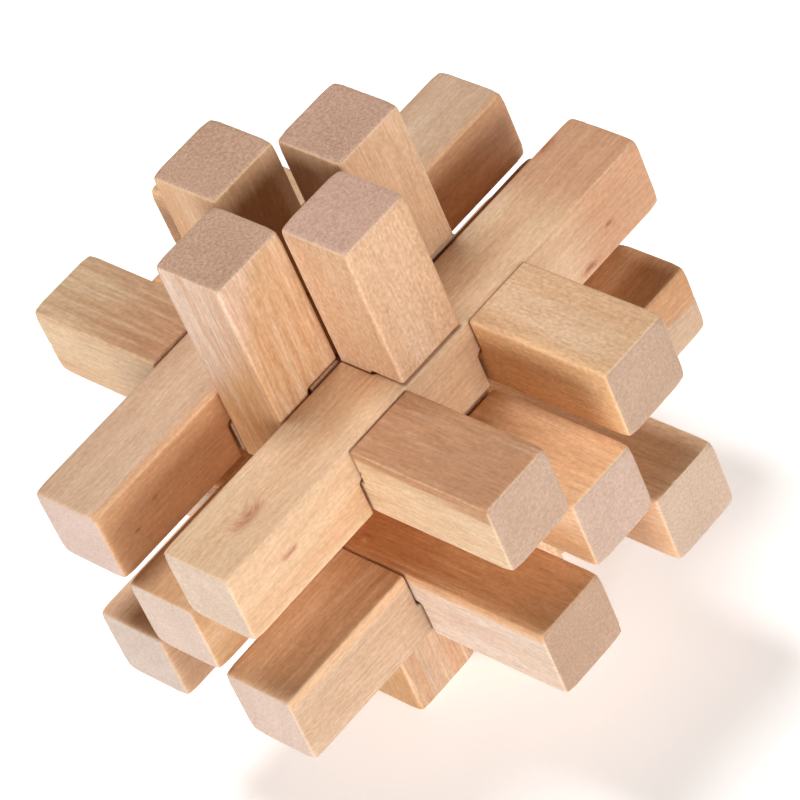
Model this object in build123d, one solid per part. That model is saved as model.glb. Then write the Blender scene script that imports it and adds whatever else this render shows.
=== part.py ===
from build123d import *
import os

# Wooden burr puzzle: fourteen sticks, all cut to one pattern, locked in a
# three-way star. X runs left to right, Y front to back and Z up. The origin is
# the middle of the footprint on the table. Rails run front to back, beams run
# left to right, and uprights stand on the table.

stick_width = 9.85     # square section
stick_length = 70.0
pitch = 10.05          # from one stick's centre line to the next one's
side_play = 0.25       # each side of a stick in another stick's notch
floor_play = 0.2       # past the half depth, in each notch of a crossing
edge_round = 0.35      # along the stick, planed on before the sticks are cut to length
end_round = 0.15       # at the sawn ends, sanded only

notch_width = stick_width + 2 * side_play
notch_depth = stick_width / 2 + floor_play
centre_height = stick_length / 2

# How far each loose stick lies from its nominal place (X, Y, Z).
settled = {
    "rail_top_left": (0.08, -0.04, -0.12),
    "rail_top_right": (0.1, 0.05, 0.0),
    "rail_core": (-0.01, -0.15, -0.03),
    "rail_bottom_left": (0.05, -0.06, -0.18),
    "rail_bottom_right": (0.0, -0.06, -0.03),
    "beam_top_front": (0.1, 0.06, 0.0),
    "beam_top_back": (0.0, 0.19, 0.2),
    "beam_core": (-0.03, 0.06, 0.06),
    "beam_bottom_front": (0.1, -0.08, -0.1),
    "beam_bottom_back": (-0.12, 0.17, 0.15),
    "upright_left": (0.17, 0.02, 0.0),
    "upright_right": (-0.19, -0.12, 0.0),
    "upright_front": (0.08, 0.0, 0.0),
    "upright_back": (0.0, 0.05, 0.0),
}


def notched_stick():
    """A stick along X: two notches in its top, and one in its +Y side between them."""
    stick = Box(stick_length, stick_width, stick_width)
    stick = fillet(stick.edges().filter_by(Axis.X), edge_round)
    for end in (stick.faces().sort_by(Axis.X)[0], stick.faces().sort_by(Axis.X)[-1]):
        stick = fillet(stick.edges().filter_by_position(Axis.X, end.center().X, end.center().X), end_round)
    overcut = 1.0
    reach = notch_depth + overcut
    inset = stick_width / 2 - notch_depth + reach / 2
    end_cutter = Box(notch_width, stick_width + 2 * overcut, reach)
    middle_cutter = Box(notch_width, reach, stick_width + 2 * overcut)
    for side in (-1, 1):
        stick -= Pos(side * pitch, 0, inset) * end_cutter
    stick -= Pos(0, inset, 0) * middle_cutter
    return stick


def place(name, cell, end_notch_face, middle_notch_face):
    """Write one stick, turned so that its notches look towards the two faces given."""
    face = Vector(*end_notch_face)
    side = Vector(*middle_notch_face)
    centre = Vector(*cell) * pitch + Vector(*settled[name]) + Vector(0, 0, centre_height)
    seat = Plane(origin=centre, x_dir=side.cross(face), z_dir=face)
    placed = seat * pattern
    export_step(placed, f"parts/{name}.step")


os.makedirs("parts", exist_ok=True)
pattern = notched_stick()

level_names = {1: "top", -1: "bottom"}
column_names = {-1: "left", 1: "right"}
row_names = {-1: "front", 1: "back"}

# Outer rails and beams: they cross in half-lap joints, the rails over the beams
# at the top and under them at the bottom.
for level, level_name in level_names.items():
    for column, column_name in column_names.items():
        place(f"rail_{level_name}_{column_name}", (column, 0, level), (0, 0, -level), (-1, 0, 0))
    for row, row_name in row_names.items():
        place(f"beam_{level_name}_{row_name}", (0, row, level), (0, 0, level), (0, -1, 0))

# The two hidden crossing sticks in the middle.
place("rail_core", (0, 0, 0), (1, 0, 0), (0, 0, 1))
place("beam_core", (0, 0, 0), (0, 1, 0), (0, 0, -1))

# Four uprights round a square well that is one stick wide.
for column, column_name in column_names.items():
    place(f"upright_{column_name}", (column, 0, 0), (1, 0, 0), (0, -1, 0))
for row, row_name in row_names.items():
    place(f"upright_{row_name}", (0, row, 0), (0, 1, 0), (-1, 0, 0))
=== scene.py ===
import math
import random

import bpy
from mathutils import Euler, Matrix, Vector


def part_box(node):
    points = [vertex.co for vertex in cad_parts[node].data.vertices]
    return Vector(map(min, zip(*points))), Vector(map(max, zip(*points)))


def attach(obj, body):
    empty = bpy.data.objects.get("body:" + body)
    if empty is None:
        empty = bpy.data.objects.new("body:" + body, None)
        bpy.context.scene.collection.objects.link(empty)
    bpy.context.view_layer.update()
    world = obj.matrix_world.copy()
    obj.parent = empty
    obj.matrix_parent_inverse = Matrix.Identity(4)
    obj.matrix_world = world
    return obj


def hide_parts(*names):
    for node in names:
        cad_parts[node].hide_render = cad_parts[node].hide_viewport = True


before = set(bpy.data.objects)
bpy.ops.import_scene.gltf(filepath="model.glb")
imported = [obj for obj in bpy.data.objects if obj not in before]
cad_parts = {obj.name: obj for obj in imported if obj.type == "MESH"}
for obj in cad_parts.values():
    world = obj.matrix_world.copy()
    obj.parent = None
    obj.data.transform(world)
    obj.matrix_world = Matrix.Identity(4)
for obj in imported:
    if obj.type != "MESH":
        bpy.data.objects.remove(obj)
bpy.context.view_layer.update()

# ------------------------------------------------------------ the stick pattern
# Every stick is one square length of bare, fine-grained hardwood with its long
# edges planed round. Two notches are sawn into one face and a third, between
# them, into the next face round.
MM = 0.001
low, high = [Vector(corner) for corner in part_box("upright_front")]
stick_width = high.x - low.x
stick_length = high.z - low.z
half = stick_width / 2
pitch = 10.05 * MM             # from one stick's centre line to the next one's
side_play = 0.25 * MM          # each side of a stick in another stick's notch
floor_play = 0.2 * MM          # past the half depth
notch_width = stick_width + 2 * side_play
notch_depth = half + floor_play
edge_round = 0.35 * MM
end_round = 0.15 * MM
overcut = 1 * MM


def block(size, centre):
    bpy.ops.object.select_all(action="DESELECT")
    bpy.ops.mesh.primitive_cube_add(size=1, location=centre, scale=size)
    bpy.ops.object.transform_apply(location=True, rotation=True, scale=True)
    return bpy.context.object


def cut_away(body, cutter):
    cut = body.modifiers.new("cut", "BOOLEAN")
    cut.operation = "DIFFERENCE"
    cut.solver = "EXACT"
    cut.use_self = True
    cut.object = cutter
    bpy.ops.object.select_all(action="DESELECT")
    bpy.context.view_layer.objects.active = body
    bpy.ops.object.modifier_apply(modifier=cut.name)
    bpy.data.objects.remove(cutter)


pattern = block((stick_length, stick_width, stick_width), (0, 0, 0))
pattern.name = "stick_pattern"


def round_edges(body, width, segments, chosen):
    """Bevels the edges whose two ends the test chosen accepts."""
    bpy.ops.object.select_all(action="DESELECT")
    body.select_set(True)
    bpy.context.view_layer.objects.active = body
    bpy.ops.object.mode_set(mode="EDIT")
    bpy.ops.mesh.select_mode(type="EDGE")
    bpy.ops.mesh.select_all(action="DESELECT")
    bpy.ops.object.mode_set(mode="OBJECT")
    points = body.data.vertices
    for edge in body.data.edges:
        edge.select = chosen(points[edge.vertices[0]].co, points[edge.vertices[1]].co)
    bpy.ops.object.mode_set(mode="EDIT")
    bpy.ops.mesh.bevel(offset=width, segments=segments, profile=0.5, affect="EDGES")
    bpy.ops.object.mode_set(mode="OBJECT")


def runs_along(one, other):
    return abs(one.x - other.x) > stick_width


def rings_an_end(one, other):
    return one.x * other.x > 0 and min(abs(one.x), abs(other.x)) > stick_length / 2 - 1e-6


round_edges(pattern, edge_round, 4, runs_along)
round_edges(pattern, end_round, 2, rings_an_end)
cut_height = notch_depth + overcut
cut_centre = half - notch_depth + cut_height / 2
across = stick_width + 2 * overcut
for end in (-1, 1):
    cut_away(pattern, block((notch_width, across, cut_height), (end * pitch, 0, cut_centre)))
cut_away(pattern, block((notch_width, cut_height, across), (0, cut_centre, 0)))


# ------------------------------------------------------------ nicks and wear
# The saw tears the fibres where it leaves a notch, and sticks that knock together
# in the tumbler and in the hand get small dents along their edges. Each stick
# gets its own set of both.
def nick(spot, size, slant=0):
    """One rounded lump, to be cut away from the stick."""
    bpy.ops.object.select_all(action="DESELECT")
    bpy.ops.mesh.primitive_ico_sphere_add(subdivisions=2, radius=1, location=spot, scale=size,
                                          rotation=(0, 0, slant))
    bpy.ops.object.transform_apply(location=True, rotation=True, scale=True)
    return bpy.context.object


def nicks(luck):
    """Torn notch rims, then dents along the long edges, then dents round the ends."""
    made = []
    for _ in range(7):
        wall = luck.choice((-1, 1)) * pitch + luck.choice((-1, 1)) * notch_width / 2
        rim = (wall, luck.choice((-1, 1)) * half, luck.uniform(0.1, 0.9) * half)
        if luck.random() < 0.4:
            rim = (wall, luck.uniform(-0.9, 0.9) * half, half)
        if luck.random() < 0.3:
            rim = (luck.choice((-1, 1)) * notch_width / 2, half, luck.uniform(-0.9, 0.9) * half)
        size = Vector((luck.uniform(0.2, 0.7), luck.uniform(0.1, 0.25), luck.uniform(0.1, 0.3))) * MM
        made.append(nick(rim, size, luck.uniform(-0.5, 0.5)))
    corner = (half - edge_round) * math.sqrt(2) + edge_round
    for _ in range(9):
        depth = luck.uniform(0.03, 0.08) * MM
        girth = luck.uniform(0.4, 0.9) * MM
        reach = (corner + girth - depth) / math.sqrt(2)
        spot = (luck.uniform(-0.48, 0.48) * stick_length,
                luck.choice((-1, 1)) * reach,
                luck.choice((-1, 1)) * reach)
        made.append(nick(spot, (luck.uniform(0.4, 1.6) * MM, girth, girth)))
    inset = edge_round * (1 - math.sqrt(0.5))
    for _ in range(4):
        depth = luck.uniform(0.03, 0.07) * MM
        girth = luck.uniform(0.3, 0.6) * MM
        out = -inset + (girth - depth) / math.sqrt(2)
        side = luck.choice((-1, 1)) * (half + out)
        along_edge = luck.uniform(-0.8, 0.8) * half
        spot = [luck.choice((-1, 1)) * (stick_length / 2 + out), side, along_edge]
        if luck.random() < 0.5:
            spot = [spot[0], along_edge, side]
        made.append(nick(spot, (girth, girth, girth)))
    bpy.ops.object.select_all(action="DESELECT")
    for piece in made:
        piece.select_set(True)
    bpy.context.view_layer.objects.active = made[0]
    bpy.ops.object.join()
    return made[0]


unevenness = bpy.data.textures.new("planed_unevenness", "CLOUDS")
unevenness.noise_scale = 6 * MM
unevenness.noise_depth = 2


skin_grid = 0.24 * MM
worn_reach = 1.6 * MM          # how far from an end corner the wear goes


def finish_surface(stick, corners):
    """Sanded and tumbled: rims softened, corners worn round, faces very slightly uneven."""
    bpy.ops.object.select_all(action="DESELECT")
    stick.select_set(True)
    bpy.context.view_layer.objects.active = stick
    skin = stick.modifiers.new("skin", "REMESH")
    skin.mode = "VOXEL"
    skin.voxel_size = skin_grid
    soften = stick.modifiers.new("soften", "SMOOTH")
    soften.factor = 0.5
    soften.iterations = 1
    for name in ("skin", "soften"):
        bpy.ops.object.modifier_apply(modifier=name)
    worn = stick.vertex_groups.new(name="worn_corners")
    for vertex in stick.data.vertices:
        gap = min((vertex.co - corner).length for corner in corners)
        if gap < worn_reach:
            worn.add([vertex.index], 1 - gap / worn_reach, "REPLACE")
    rub = stick.modifiers.new("rub", "SMOOTH")
    rub.vertex_group = worn.name
    rub.factor = 0.9
    rub.iterations = 14
    wave = stick.modifiers.new("wave", "DISPLACE")
    wave.texture = unevenness
    wave.texture_coords = "LOCAL"
    wave.strength = 0.03 * MM
    wave.mid_level = 1.0
    for name in ("rub", "wave"):
        bpy.ops.object.modifier_apply(modifier=name)
    bpy.ops.object.shade_smooth()


def make_stick(name, end_notch_face, middle_notch_face):
    """A copy of the pattern, nicked, laid where the CAD stick of that name lies."""
    bpy.ops.object.select_all(action="DESELECT")
    pattern.select_set(True)
    bpy.context.view_layer.objects.active = pattern
    bpy.ops.object.duplicate()
    stick = bpy.context.object
    stick.name = "stick_" + name
    cut_away(stick, nicks(random.Random(name)))
    face = Vector(end_notch_face)
    side = Vector(middle_notch_face)
    low, high = [Vector(corner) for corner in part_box(name)]
    lie = Matrix((side.cross(face), side, face)).transposed().to_4x4()
    lie.translation = (low + high) / 2
    stick.matrix_world = lie
    bpy.ops.object.select_all(action="DESELECT")
    stick.select_set(True)
    bpy.context.view_layer.objects.active = stick
    bpy.ops.object.transform_apply(location=True, rotation=True, scale=True)
    finish_surface(stick, [Vector((x, y, z))
                           for x in (low.x, high.x) for y in (low.y, high.y) for z in (low.z, high.z)])
    axis = side.cross(face)
    cross_cut = stick.data.attributes.new("end_grain", "FLOAT", "POINT")
    cross_cut.data.foreach_set("value", [abs(vertex.normal.dot(axis)) for vertex in stick.data.vertices])
    return stick


# ------------------------------------------------------------ bare wood
# A pale hardwood like beech: straight fibres, faint growth bands, fine specks on
# the faces, and greyer, finely dotted end grain. Sanded and left bare, it is matt
# with a faint sheen. Its edges are paler than its faces, partly from rubbing and
# partly as a painted highlight where the rounded edges catch the light. Some
# colour changes across a stick are painted shade and painted light.
def linear(hex_colour):
    channels = [int(hex_colour[i:i + 2], 16) / 255 for i in (1, 3, 5)]
    return [c / 12.92 if c <= 0.04045 else ((c + 0.055) / 1.055) ** 2.4 for c in channels] + [1]


def add(tree, kind, settings, inputs):
    """Adds a node; an input is either a value or the output that feeds it."""
    node = tree.nodes.new(kind)
    for key, value in settings.items():
        setattr(node, key, value)
    for socket, value in inputs.items():
        if isinstance(value, bpy.types.NodeSocket):
            tree.links.new(value, node.inputs[socket])
        else:
            node.inputs[socket].default_value = value
    return node.outputs


MIX = {"data_type": "RGBA"}
A, B, MIXED = 6, 7, 2          # the colour sockets of a Mix node
SMOOTH = {"interpolation_type": "SMOOTHSTEP"}
turn_to_grain = {"rail": (-90, 0, 0), "beam": (0, 90, 0), "upright": (0, 0, 0)}


def tint(change):
    """A colour to multiply by. Darkening takes the most from blue, so it turns warmer."""
    return (1 + 0.8 * change, 1 + change, 1 + 1.25 * change, 1)


def wood(name, face_colour, end_colour, deep_colour="#c98f60", pale_colour="#ecd0b4",
         grain=1, speckle=0.4, stripes=0.25, end_dots=0.2,
         tones=(), knots=()):
    """Sanded and left bare, so the eye sees fibres, specks and soft changes of colour, and little shine.
    tones: (direction, from mm, to mm, colour), where the colour changes across the stick: some are the
    wood's own colour, others are painted shade and painted light on faces that sit in shade or in light.
    knots: (place in mm from the stick's middle, radius in mm)."""
    luck = random.Random("wood " + name)
    low, high = [Vector(corner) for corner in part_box(name)]
    finish = bpy.data.materials.new("sanded_hardwood_" + name)
    finish.use_nodes = True
    tree = finish.node_tree
    tree.nodes.clear()
    place = add(tree, "ShaderNodeTexCoord", {}, {})["Object"]
    stick = add(tree, "ShaderNodeMapping", {"vector_type": "TEXTURE"},
                {"Vector": place, "Location": (low + high) / 2})[0]
    lie = [math.radians(angle) for angle in turn_to_grain[name.split("_")[0]]]
    along = add(tree, "ShaderNodeMapping", {"vector_type": "TEXTURE"},
                {"Vector": stick, "Rotation": lie})[0]
    # each stick is cut from its own place in a log, nearly along the grain
    cut_from = (luck.uniform(0.06, 0.11), luck.uniform(-0.02, 0.02), luck.uniform(-1, 1))
    cut_angles = [math.radians(luck.uniform(-1.2, 1.2)), math.radians(luck.uniform(-1.2, 1.2)),
                  math.radians(luck.uniform(0, 360))]
    log = add(tree, "ShaderNodeMapping", {},
              {"Vector": along, "Location": cut_from, "Rotation": cut_angles})[0]

    # fibres wander a little, and part around a knot
    slow = add(tree, "ShaderNodeMapping", {}, {"Vector": log, "Scale": (1, 1, 0.15)})[0]
    wander = add(tree, "ShaderNodeTexNoise", {}, {"Vector": slow, "Scale": 80, "Detail": 2})["Color"]
    bent = add(tree, "ShaderNodeVectorMath", {"operation": "MULTIPLY_ADD"},
               {0: wander, 1: (0.004, 0.004, 0), 2: log})[0]
    for spot, size in knots:
        near = add(tree, "ShaderNodeVectorMath", {"operation": "DISTANCE"},
                   {0: stick, 1: Vector(spot) * MM})["Value"]
        pull = add(tree, "ShaderNodeMapRange", SMOOTH,
                   {"Value": near, "From Min": 4 * size * MM, "From Max": 0,
                    "To Min": 0, "To Max": 1.5 * size * MM})[0]
        bent = add(tree, "ShaderNodeVectorMath", {"operation": "ADD"}, {0: bent, 1: pull})[0]

    # growth bands 1 to 2 mm apart, round the pith
    flat = add(tree, "ShaderNodeVectorMath", {"operation": "MULTIPLY"}, {0: bent, 1: (1, 1, 0)})[0]
    radius = add(tree, "ShaderNodeVectorMath", {"operation": "LENGTH"}, {0: flat})["Value"]
    bands = add(tree, "ShaderNodeTexNoise", {"noise_dimensions": "1D"},
                {"W": radius, "Scale": 650, "Detail": 3, "Roughness": 0.6})[0]
    # streaks about 0.5 mm wide and fibres about 0.2 mm wide, drawn out along the grain
    drawn = add(tree, "ShaderNodeMapping", {}, {"Vector": bent, "Scale": (1, 1, 0.04)})[0]
    streaks = add(tree, "ShaderNodeTexNoise", {},
                  {"Vector": drawn, "Scale": 1300, "Detail": 3, "Roughness": 0.6})[0]
    short = add(tree, "ShaderNodeMapping", {}, {"Vector": bent, "Scale": (1, 1, 0.09)})[0]
    fibres = add(tree, "ShaderNodeTexNoise", {},
                 {"Vector": short, "Scale": 3600, "Detail": 2, "Roughness": 0.6})[0]
    # pores and ray ends: specks about 0.3 mm across
    dashed = add(tree, "ShaderNodeMapping", {}, {"Vector": bent, "Scale": (1, 1, 0.6)})[0]
    specks = add(tree, "ShaderNodeTexNoise", {},
                 {"Vector": dashed, "Scale": 2700, "Detail": 1.5, "Roughness": 0.65})[0]
    patches = add(tree, "ShaderNodeTexNoise", {}, {"Vector": slow, "Scale": 130, "Detail": 2})[0]
    wisps = add(tree, "ShaderNodeTexNoise", {},
                {"Vector": short, "Scale": 1500, "Detail": 3, "Roughness": 0.7})[0]

    # the faces: pale and deep areas, then bands, then streaks
    pale_area = add(tree, "ShaderNodeMapRange", SMOOTH,
                    {"Value": patches, "From Min": 0.5, "From Max": 0.68, "To Max": 0.4})[0]
    deep_area = add(tree, "ShaderNodeMapRange", SMOOTH,
                    {"Value": patches, "From Min": 0.5, "From Max": 0.3, "To Max": 0.3})[0]
    colour = add(tree, "ShaderNodeMix", MIX,
                 {0: pale_area, A: linear(face_colour), B: linear(pale_colour)})[MIXED]
    colour = add(tree, "ShaderNodeMix", MIX, {0: deep_area, A: colour, B: linear(deep_colour)})[MIXED]
    ragged_shift = 2.25        # mm, what the two noises below add to the distance on average
    # colour changes across the stick: some the wood's own, some painted shade and painted light on faces
    # in shade or in light
    for direction, start, stop, tone in tones:
        across = add(tree, "ShaderNodeVectorMath", {"operation": "DOT_PRODUCT"},
                     {0: stick, 1: direction})["Value"]
        ragged = add(tree, "ShaderNodeMath", {"operation": "MULTIPLY_ADD"},
                     {0: patches, 1: 3 * MM, 2: across})[0]
        ragged = add(tree, "ShaderNodeMath", {"operation": "MULTIPLY_ADD"},
                     {0: streaks, 1: 1.5 * MM, 2: ragged})[0]
        turned = add(tree, "ShaderNodeMapRange", SMOOTH,
                     {"Value": ragged, "From Min": (start + ragged_shift) * MM,
                      "From Max": (stop + ragged_shift) * MM, "To Max": 0.9})[0]
        colour = add(tree, "ShaderNodeMix", MIX, {0: turned, A: colour, B: linear(tone)})[MIXED]
    band = add(tree, "ShaderNodeMapRange", {},
               {"Value": bands, "From Min": 0.4, "From Max": 0.75, "To Max": stripes})[0]
    colour = add(tree, "ShaderNodeMix", MIX, {0: band, A: colour, B: linear(deep_colour)})[MIXED]
    streak = add(tree, "ShaderNodeMapRange", {},
                 {"Value": streaks, "From Min": 0.5, "From Max": 0.75, "To Max": stripes})[0]
    colour = add(tree, "ShaderNodeMix", MIX, {0: streak, A: colour, B: linear(deep_colour)})[MIXED]
    pale_streak = add(tree, "ShaderNodeMapRange", {},
              {"Value": streaks, "From Min": 0.45, "From Max": 0.25, "To Max": stripes})[0]
    colour = add(tree, "ShaderNodeMix", MIX, {0: pale_streak, A: colour, B: linear(pale_colour)})[MIXED]

    # fibres and specks: the dark ones warmer, the light ones paler
    fibre = add(tree, "ShaderNodeMapRange", {}, {"Value": fibres, "From Min": 0.25, "From Max": 0.75})[0]
    fibre = add(tree, "ShaderNodeMix", MIX,
                {0: fibre, A: tint(-0.14 * grain), B: tint(0.12 * grain)})[MIXED]
    speck = add(tree, "ShaderNodeMapRange", {}, {"Value": specks, "From Min": 0.25, "From Max": 0.75})[0]
    dots = add(tree, "ShaderNodeMix", MIX,
               {0: speck, A: tint(-0.3 * speckle), B: tint(0.3 * speckle)})[MIXED]
    colour = add(tree, "ShaderNodeVectorMath", {"operation": "MULTIPLY"}, {0: colour, 1: fibre})[0]
    colour = add(tree, "ShaderNodeVectorMath", {"operation": "MULTIPLY"}, {0: colour, 1: dots})[0]

    # the ends: greyer, finely dotted, with the bands only just seen
    cross_cut = add(tree, "ShaderNodeAttribute", {"attribute_name": "end_grain"}, {})["Fac"]
    end_mask = add(tree, "ShaderNodeMapRange", SMOOTH,
                   {"Value": cross_cut, "From Min": 0.6, "From Max": 0.85})[0]
    ring = add(tree, "ShaderNodeMapRange", {},
               {"Value": bands, "From Min": 0.35, "From Max": 0.75, "To Max": 0.12})[0]
    sawn = add(tree, "ShaderNodeMix", MIX, {0: ring, A: linear(end_colour), B: linear("#a98a76")})[MIXED]
    pores = add(tree, "ShaderNodeTexNoise", {},
                {"Vector": bent, "Scale": 3000, "Detail": 2, "Roughness": 0.7})[0]
    pore = add(tree, "ShaderNodeMapRange", {}, {"Value": pores, "From Min": 0.25, "From Max": 0.75})[0]
    pore = add(tree, "ShaderNodeMix", MIX, {0: pore, A: tint(-end_dots), B: tint(end_dots)})[MIXED]
    smear = add(tree, "ShaderNodeMapRange", {}, {"Value": patches, "From Min": 0.3, "From Max": 0.7})[0]
    smear = add(tree, "ShaderNodeMix", MIX, {0: smear, A: tint(-0.06), B: tint(0.06)})[MIXED]
    sawn = add(tree, "ShaderNodeVectorMath", {"operation": "MULTIPLY"}, {0: sawn, 1: pore})[0]
    sawn = add(tree, "ShaderNodeVectorMath", {"operation": "MULTIPLY"}, {0: sawn, 1: smear})[0]
    colour = add(tree, "ShaderNodeMix", MIX, {0: end_mask, A: colour, B: sawn})[MIXED]

    # knots and flecks: a reddish smear drawn out along the grain, with a darker heart
    for spot, size in knots:
        middle_of_knot = Euler(lie).to_matrix().inverted() @ (Vector(spot) * MM)
        off = add(tree, "ShaderNodeVectorMath", {"operation": "SUBTRACT"},
                  {0: along, 1: middle_of_knot})[0]
        off = add(tree, "ShaderNodeVectorMath", {"operation": "MULTIPLY"}, {0: off, 1: (1, 1, 0.4)})[0]
        near = add(tree, "ShaderNodeVectorMath", {"operation": "LENGTH"}, {0: off})["Value"]
        near = add(tree, "ShaderNodeMath", {"operation": "MULTIPLY_ADD"},
                   {0: wisps, 1: 2.4 * size * MM, 2: near})[0]
        halo = add(tree, "ShaderNodeMapRange", SMOOTH,
                   {"Value": near, "From Min": 3.1 * size * MM, "From Max": 1.6 * size * MM,
                    "To Max": 0.5})[0]
        colour = add(tree, "ShaderNodeMix", MIX, {0: halo, A: colour, B: linear("#b5634a")})[MIXED]
        heart = add(tree, "ShaderNodeMapRange", SMOOTH,
                    {"Value": near, "From Min": 1.9 * size * MM, "From Max": 1.3 * size * MM,
                     "To Max": 0.5})[0]
        colour = add(tree, "ShaderNodeMix", MIX, {0: heart, A: colour, B: linear("#7c452d")})[MIXED]

    # edges paler: partly rubbed wear, partly painted highlight where the rounded edges catch the light.
    # The mask is the second smallest distance from the stick's planes
    parts = add(tree, "ShaderNodeSeparateXYZ", {}, {0: along})
    gaps = []
    for part, reach in zip(parts, (half, half, stick_length / 2)):
        size = add(tree, "ShaderNodeMath", {"operation": "ABSOLUTE"}, {0: part})[0]
        gaps.append(add(tree, "ShaderNodeMath", {"operation": "SUBTRACT"}, {0: reach, 1: size})[0])
    lesser = add(tree, "ShaderNodeMath", {"operation": "MINIMUM"}, {0: gaps[0], 1: gaps[1]})[0]
    greater = add(tree, "ShaderNodeMath", {"operation": "MAXIMUM"}, {0: gaps[0], 1: gaps[1]})[0]
    nearer = add(tree, "ShaderNodeMath", {"operation": "MINIMUM"}, {0: greater, 1: gaps[2]})[0]
    edge_gap = add(tree, "ShaderNodeMath", {"operation": "MAXIMUM"}, {0: lesser, 1: nearer})[0]
    edge = add(tree, "ShaderNodeMapRange", SMOOTH,
               {"Value": edge_gap, "From Min": 0.3 * MM, "From Max": 0.12 * MM, "To Max": 0.4})[0]
    rub = add(tree, "ShaderNodeMapRange", {},
              {"Value": specks, "From Min": 0.35, "From Max": 0.6, "To Min": 0.55})[0]
    edge = add(tree, "ShaderNodeMath", {"operation": "MULTIPLY"}, {0: edge, 1: rub})[0]
    # the cream edge colour is partly wear, partly painted highlight
    colour = add(tree, "ShaderNodeMix", MIX, {0: edge, A: colour, B: linear("#efd3b0")})[MIXED]

    roughness = add(tree, "ShaderNodeMapRange", {},
                    {"Value": fibres, "From Min": 0.3, "From Max": 0.7, "To Min": 0.54, "To Max": 0.68})[0]
    height = add(tree, "ShaderNodeMath", {"operation": "ADD"}, {0: specks, 1: fibres})[0]
    bump = add(tree, "ShaderNodeBump", {}, {"Strength": 0.25, "Distance": 0.05 * MM, "Height": height})[0]
    surface = add(tree, "ShaderNodeBsdfPrincipled", {},
                  {"Base Color": colour, "Roughness": roughness, "Normal": bump, "IOR": 1.4})[0]
    add(tree, "ShaderNodeOutputMaterial", {}, {"Surface": surface})
    return finish


def dress(stick, name, body, finish):
    stick.data.materials.clear()
    stick.data.materials.append(finish)
    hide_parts(name)
    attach(stick, body)


LEFT, RIGHT = (-1, 0, 0), (1, 0, 0)
FRONT, BACK = (0, -1, 0), (0, 1, 0)
DOWN, UP = (0, 0, -1), (0, 0, 1)


def lay(name, body, end_notch_face, middle_notch_face, **looks):
    stick = make_stick(name, end_notch_face, middle_notch_face)
    dress(stick, name, body, wood(name, **looks))


# ------------------------------------------------------------ rails
# Five sticks that run front to back. The top and bottom pairs pass over and under
# the beams; the core rail is locked in the middle of the puzzle.
lay("rail_top_left", "outer_frame", DOWN, LEFT,
    face_colour="#d2ae90", end_colour="#d4b9ab", stripes=0.15,
    # painted shade: the right face, facing rail_top_right, is coloured a deeper orange for the shade it
    # sits in
    tones=[((1, 0, 0), 3.6, 4.8, "#dba67a")],
    knots=[((4.9, -27.2, 0.8), 0.22), ((4.9, -30.9, -0.8), 0.18)])
lay("rail_top_right", "outer_frame", DOWN, LEFT,
    face_colour="#e2be99", end_colour="#d7bda7", stripes=0.2,
    tones=[((0, 1, 0), 19, 27, "#cf9a76")],
    knots=[((0.7, -26.7, 4.9), 0.75), ((4.9, -26.6, 0.8), 0.4), ((-4.4, 30.1, 4.9), 0.5),
           ((4.9, 22.8, -3.7), 0.5), ((4.9, 27.4, -1.0), 0.25)])
lay("rail_core", "key_group", RIGHT, UP,
    face_colour="#cea57d", end_colour="#d6bdac")
lay("rail_bottom_left", "outer_frame", UP, LEFT,
    face_colour="#d7af8d", end_colour="#cdb9aa")
lay("rail_bottom_right", "outer_frame", UP, LEFT,
    face_colour="#caaa8d", end_colour="#d6baaa", grain=1.3,
    # painted light and painted shade on the top: paler towards the front end, deeper orange further back
    # under rail_top_right
    tones=[((0, 0, 1), 2.5, 4.5, "#ebc39b"), ((0, 0.1, 1), 2.4, 3.9, "#cb9568")])

# ------------------------------------------------------------ beams
# Five sticks that run left to right. Their end notches carry the rails; the core
# beam crosses the core rail at the very middle.
lay("beam_top_front", "outer_frame", UP, FRONT,
    face_colour="#ddbc97", end_colour="#bd9c85", grain=1.5,
    tones=[((0.03, 0, 1), 3.6, 4.9, "#b98560")])
lay("beam_top_back", "outer_frame", UP, FRONT,
    face_colour="#dab189", end_colour="#b89881", speckle=0.6, stripes=0.15,
    # painted shade: the front face, shaded by beam_top_front, is coloured a warmer orange
    tones=[((0, -1, 0), 3.6, 4.8, "#f0c08e")])
lay("beam_core", "key_group", BACK, DOWN,
    face_colour="#e1b083", end_colour="#c2a491", grain=1.4)
lay("beam_bottom_front", "outer_frame", DOWN, FRONT,
    face_colour="#dfcbbb", end_colour="#b7957c", stripes=0.3, grain=1.4,
    # painted shade: the top, under beam_top_front, is coloured orange, deeper towards the left end
    tones=[((0, 0, 1), 3.2, 4.8, "#e0a977"), ((-0.1, 0, 1), 3.0, 4.4, "#c68652")],
    knots=[((7.0, -2.4, 4.9), 0.3)])
lay("beam_bottom_back", "outer_frame", DOWN, FRONT,
    face_colour="#e6b991", end_colour="#c5a993", grain=1.3,
    # painted light: the top, under beam_top_back, is coloured paler so it reads as lit
    tones=[((0, 0, 1), 3.2, 4.8, "#f6d3ae")])

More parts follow.
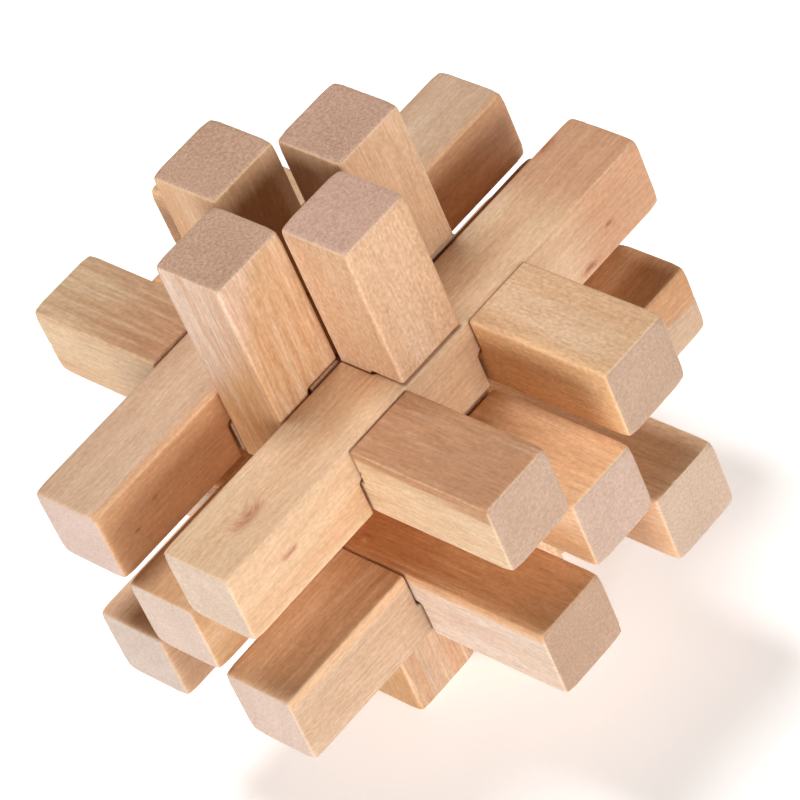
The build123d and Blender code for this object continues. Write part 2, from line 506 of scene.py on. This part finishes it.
# ------------------------------------------------------------ uprights
# Four sticks that stand on the table and clasp the middle. The left and right ones
# slide out to the left together with the core rail and beam.
lay("upright_left", "key_group", RIGHT, FRONT,
    face_colour="#dfb58d", end_colour="#c8a086", end_dots=0.34)
lay("upright_right", "key_group", RIGHT, FRONT,
    face_colour="#dbb390", end_colour="#d0a893", speckle=0.65, stripes=0.15, end_dots=0.26)
lay("upright_front", "outer_frame", BACK, LEFT,
    face_colour="#d6b08a", end_colour="#c59f84", stripes=0.6, grain=1.5, end_dots=0.34,
    # the second colour is painted shade: the front face a deeper orange. The first makes the lower end
    # greyer, the last the upper front corner paler
    tones=[((0, 0, -1), 14, 20, "#c8ad94"), ((0, -1, 0), 3.6, 4.8, "#d1a473"),
           ((-0.25, -0.85, 0.35), 9.5, 12.5, "#e4c9b6")])
lay("upright_back", "outer_frame", BACK, LEFT,
    face_colour="#e0b995", end_colour="#c8a089", grain=1.2, end_dots=0.34)
bpy.data.objects.remove(pattern)

# ------------------------------------------------------------ the floor
bpy.ops.object.select_all(action="DESELECT")
bpy.ops.mesh.primitive_plane_add(size=6, location=(0, 0, 0))
floor = bpy.context.object
floor.name = "studio_floor"
floor_finish = bpy.data.materials.new("white_paper")
floor_finish.use_nodes = True
floor_shader = floor_finish.node_tree.nodes["Principled BSDF"]
floor_shader.inputs["Base Color"].default_value = (0.93, 0.93, 0.93, 1)
floor_shader.inputs["Roughness"].default_value = 0.9
floor_shader.inputs["Emission Color"].default_value = (1, 1, 1, 1)
floor_shader.inputs["Emission Strength"].default_value = 0.45
floor.data.materials.append(floor_finish)

# ------------------------------------------------------------ light and camera
scene = bpy.context.scene
scene.view_settings.view_transform = "Standard"
middle = Vector((0, 0, stick_length / 2))


def softbox(name, direction, distance, size, power, colour=(1, 1, 1)):
    bpy.ops.object.light_add(type="AREA", location=middle + Vector(direction).normalized() * distance)
    light = bpy.context.object
    light.name = name
    light.data.shape = "DISK"
    light.data.size = size
    light.data.energy = power
    light.data.color = colour
    light.rotation_euler = (-Vector(direction)).to_track_quat("-Z", "Y").to_euler()


softbox("right_softbox", (1, 0.0, 0.2), 1.2, 0.5, 7.3)
softbox("front_softbox", (0.3, -1, 0.14), 1.2, 0.5, 7.7)
softbox("top_softbox", (-0.25, 0.03, 1), 1.2, 0.5, 11)
world = bpy.data.worlds.new("studio")
world.use_nodes = True
world.node_tree.nodes["Background"].inputs["Color"].default_value = (1, 0.8, 0.62, 1)
world.node_tree.nodes["Background"].inputs["Strength"].default_value = 0.03
scene.world = world

right = Vector((0.7151, 0.62736, -0.3083))
up = Vector((-0.30725, 0.67826, 0.66751))
back = right.cross(up)
camera_data = bpy.data.cameras.new("camera")
camera = bpy.data.objects.new("camera", camera_data)
scene.collection.objects.link(camera)
camera_data.lens = 206.44
camera_data.sensor_width = 36
camera_data.clip_start = 0.01
camera_data.clip_end = 20
stand = Matrix((right, up, back)).transposed().to_4x4()
stand.translation = Vector((0.32041, -0.19247, 0.37901))
camera.matrix_world = stand
scene.camera = camera
